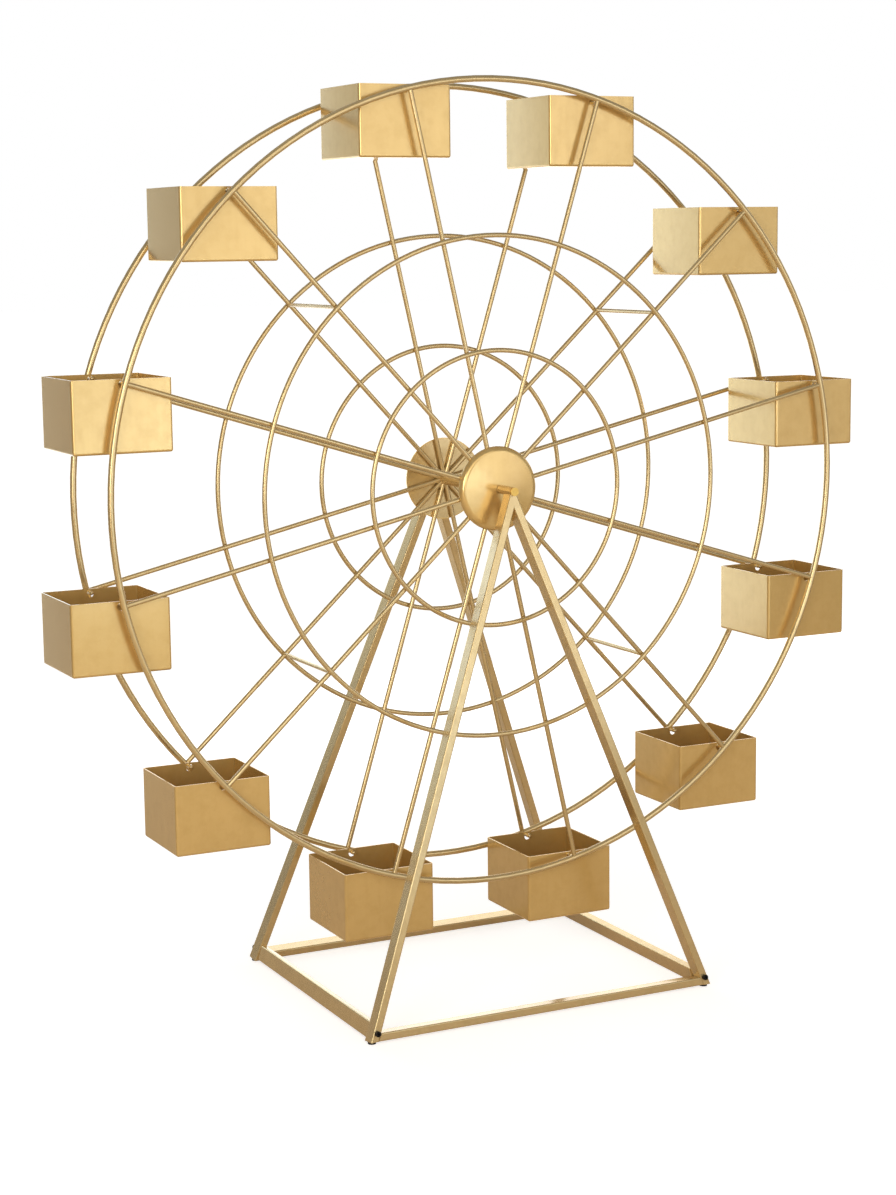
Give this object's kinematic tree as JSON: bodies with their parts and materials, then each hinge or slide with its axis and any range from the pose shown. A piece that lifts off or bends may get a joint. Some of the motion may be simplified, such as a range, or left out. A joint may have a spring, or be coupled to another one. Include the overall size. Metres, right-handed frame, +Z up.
{
  "type": "ferris wheel",
  "caption": "Gold ferris wheel display: open-topped baskets hang level on pins inside a spoked rod wheel that turns on an axle between leaning A-frames.",
  "frame": {"origin": "on the floor, straight below the middle of the axle", "axes": "+Z up, +Y along the axle from the front A-frame to the rear one, +X to the right seen from the front"},
  "size_m": [1.0972, 0.4024, 1.15],
  "materials": {
    "gold_paint": "satin",
    "gold_sheet": "satin",
    "black_bolt": "satin",
    "black_rubber": "matt"
  },
  "bodies": {
    "stand": {"front_right_leg": "gold_paint", "front_left_leg": "gold_paint", "rear_right_leg": "gold_paint", "rear_left_leg": "gold_paint", "front_base_bar": "gold_paint", "rear_base_bar": "gold_paint", "right_base_rail": "gold_paint", "left_base_rail": "gold_paint", "front_bearing_sleeve": "gold_paint", "rear_bearing_sleeve": "gold_paint", "corner_bolts": "black_bolt", "foot_pads": "black_rubber"},
    "wheel": {"axle": "gold_paint", "axle_end_caps": "gold_paint", "hub_tube": "gold_paint", "front_hub_dome": "gold_paint", "front_hub_plate": "gold_paint", "front_outer_ring": "gold_paint", "front_middle_ring": "gold_paint", "front_inner_ring": "gold_paint", "front_basket_pins": "gold_paint", "front_spoke_pair_1": "gold_paint", "front_spoke_pair_2": "gold_paint", "front_spoke_pair_3": "gold_paint", "front_spoke_pair_4": "gold_paint", "front_spoke_pair_5": "gold_paint", "front_spoke_pair_6": "gold_paint", "rear_hub_dome": "gold_paint", "rear_hub_plate": "gold_paint", "rear_outer_ring": "gold_paint", "rear_middle_ring": "gold_paint", "rear_inner_ring": "gold_paint", "rear_basket_pins": "gold_paint", "rear_spoke_pair_1": "gold_paint", "rear_spoke_pair_2": "gold_paint", "rear_spoke_pair_3": "gold_paint", "rear_spoke_pair_4": "gold_paint", "rear_spoke_pair_5": "gold_paint", "rear_spoke_pair_6": "gold_paint", "tie_rod_1": "gold_paint", "tie_rod_2": "gold_paint", "tie_rod_3": "gold_paint", "tie_rod_4": "gold_paint"},
    "basket_01": {"basket_01": "gold_sheet"},
    "basket_02": {"basket_02": "gold_sheet"},
    "basket_03": {"basket_03": "gold_sheet"},
    "basket_04": {"basket_04": "gold_sheet"},
    "basket_05": {"basket_05": "gold_sheet"},
    "basket_06": {"basket_06": "gold_sheet"},
    "basket_07": {"basket_07": "gold_sheet"},
    "basket_08": {"basket_08": "gold_sheet"},
    "basket_09": {"basket_09": "gold_sheet"},
    "basket_10": {"basket_10": "gold_sheet"},
    "basket_11": {"basket_11": "gold_sheet"},
    "basket_12": {"basket_12": "gold_sheet"}
  },
  "joints": [
    {"name": "wheel_spin", "type": "hinge", "parent": "stand", "child": "wheel", "pos_m": [0, 0, 0.646], "axis": [0, 1, 0], "continuous": true},
    {"name": "basket_01_hang", "type": "hinge", "parent": "wheel", "child": "basket_01", "pos_m": [0.48757, 0, 0.75677], "axis": [0, 1, 0], "continuous": true},
    {"name": "basket_02_hang", "type": "hinge", "parent": "wheel", "child": "basket_02", "pos_m": [0.36686, 0, 0.98572], "axis": [0, 1, 0], "continuous": true},
    {"name": "basket_03_hang", "type": "hinge", "parent": "wheel", "child": "basket_03", "pos_m": [0.14785, 0, 1.12364], "axis": [0, 1, 0], "continuous": true},
    {"name": "basket_04_hang", "type": "hinge", "parent": "wheel", "child": "basket_04", "pos_m": [-0.11077, 0, 1.13357], "axis": [0, 1, 0], "continuous": true},
    {"name": "basket_05_hang", "type": "hinge", "parent": "wheel", "child": "basket_05", "pos_m": [-0.33972, 0, 1.01286], "axis": [0, 1, 0], "continuous": true},
    {"name": "basket_06_hang", "type": "hinge", "parent": "wheel", "child": "basket_06", "pos_m": [-0.47764, 0, 0.79385], "axis": [0, 1, 0], "continuous": true},
    {"name": "basket_07_hang", "type": "hinge", "parent": "wheel", "child": "basket_07", "pos_m": [-0.48757, 0, 0.53523], "axis": [0, 1, 0], "continuous": true},
    {"name": "basket_08_hang", "type": "hinge", "parent": "wheel", "child": "basket_08", "pos_m": [-0.36686, 0, 0.30628], "axis": [0, 1, 0], "continuous": true},
    {"name": "basket_09_hang", "type": "hinge", "parent": "wheel", "child": "basket_09", "pos_m": [-0.14785, 0, 0.16836], "axis": [0, 1, 0], "continuous": true},
    {"name": "basket_10_hang", "type": "hinge", "parent": "wheel", "child": "basket_10", "pos_m": [0.11077, 0, 0.15843], "axis": [0, 1, 0], "continuous": true},
    {"name": "basket_11_hang", "type": "hinge", "parent": "wheel", "child": "basket_11", "pos_m": [0.33972, 0, 0.27914], "axis": [0, 1, 0], "continuous": true},
    {"name": "basket_12_hang", "type": "hinge", "parent": "wheel", "child": "basket_12", "pos_m": [0.47764, 0, 0.49815], "axis": [0, 1, 0], "continuous": true}
  ],
  "couplings": [
    {"joint": "basket_01_hang", "follows": "wheel_spin", "ratio": -1},
    {"joint": "basket_02_hang", "follows": "wheel_spin", "ratio": -1},
    {"joint": "basket_03_hang", "follows": "wheel_spin", "ratio": -1},
    {"joint": "basket_04_hang", "follows": "wheel_spin", "ratio": -1},
    {"joint": "basket_05_hang", "follows": "wheel_spin", "ratio": -1},
    {"joint": "basket_06_hang", "follows": "wheel_spin", "ratio": -1},
    {"joint": "basket_07_hang", "follows": "wheel_spin", "ratio": -1},
    {"joint": "basket_08_hang", "follows": "wheel_spin", "ratio": -1},
    {"joint": "basket_09_hang", "follows": "wheel_spin", "ratio": -1},
    {"joint": "basket_10_hang", "follows": "wheel_spin", "ratio": -1},
    {"joint": "basket_11_hang", "follows": "wheel_spin", "ratio": -1},
    {"joint": "basket_12_hang", "follows": "wheel_spin", "ratio": -1}
  ]
}
